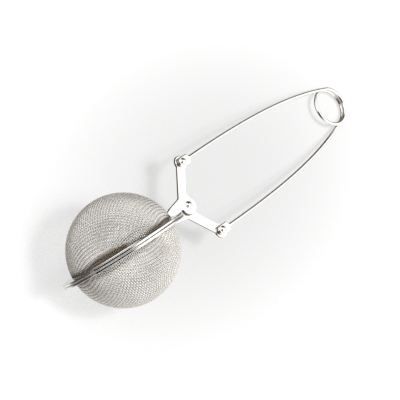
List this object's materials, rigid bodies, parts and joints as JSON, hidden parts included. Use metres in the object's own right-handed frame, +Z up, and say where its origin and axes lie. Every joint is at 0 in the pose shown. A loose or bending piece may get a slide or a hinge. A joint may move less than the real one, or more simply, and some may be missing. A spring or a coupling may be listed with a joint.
{
  "type": "tea infuser",
  "caption": "Mesh ball tea infuser: two hinged mesh halves opened by squeezing a bowed spring-wire handle with a coil at its end.",
  "frame": {"origin": "centre of the footprint box on the ground, with the infuser lying on the lowest point of its rim and on the coil at the end of its handle", "axes": "+X from the ball towards the coil, +Z up, the seam between the two halves lies in the plane Y = 0 with the upper half at +Y; the handle leans nose-down, so the pins lean from vertical by the same angle"},
  "size_m": [0.1653, 0.0414, 0.05],
  "materials": {
    "mesh": "woven stainless wire, softly bright",
    "rim": "polished stainless",
    "lever": "tumbled bright stainless plate",
    "rivet": "polished stainless",
    "wire": "drawn bright spring wire"
  },
  "bodies": {
    "lower_half": {"lower_mesh_bowl": "mesh", "lower_rim": "rim", "lower_lever": "lever", "centre_rivet": "rivet", "lower_handle_rivet": "rivet"},
    "upper_half": {"upper_mesh_bowl": "mesh", "upper_rim": "rim", "upper_lever": "lever", "upper_handle_rivet": "rivet"},
    "lower_arm": {"handle_wire_lower": "wire"},
    "upper_arm": {"handle_wire_upper": "wire"}
  },
  "joints": [
    {"name": "ball_opening", "type": "hinge", "parent": "lower_half", "child": "upper_half", "pos_m": [-0.02034, 0, 0.01862], "axis": [-0.1688, 0, -0.9856], "range_deg": [0, 60], "stiffness_Nm_per_rad": 0.02, "springref_deg": -28.65},
    {"name": "lower_arm_pivot", "type": "hinge", "parent": "lower_half", "child": "lower_arm", "pos_m": [-0.01245, -0.0148, 0.01727], "axis": [-0.1688, 0, -0.9856], "range_deg": [0, 34]},
    {"name": "coil_flex", "type": "hinge", "parent": "lower_arm", "child": "upper_arm", "pos_m": [0.07419, 0, 0.00243], "axis": [0.1688, 0, 0.9856], "range_deg": [0, 8]}
  ],
  "couplings": [
    {"joint": "lower_arm_pivot", "follows": "ball_opening", "ratio": 0.5616},
    {"joint": "coil_flex", "follows": "ball_opening", "ratio": 0.1232}
  ]
}
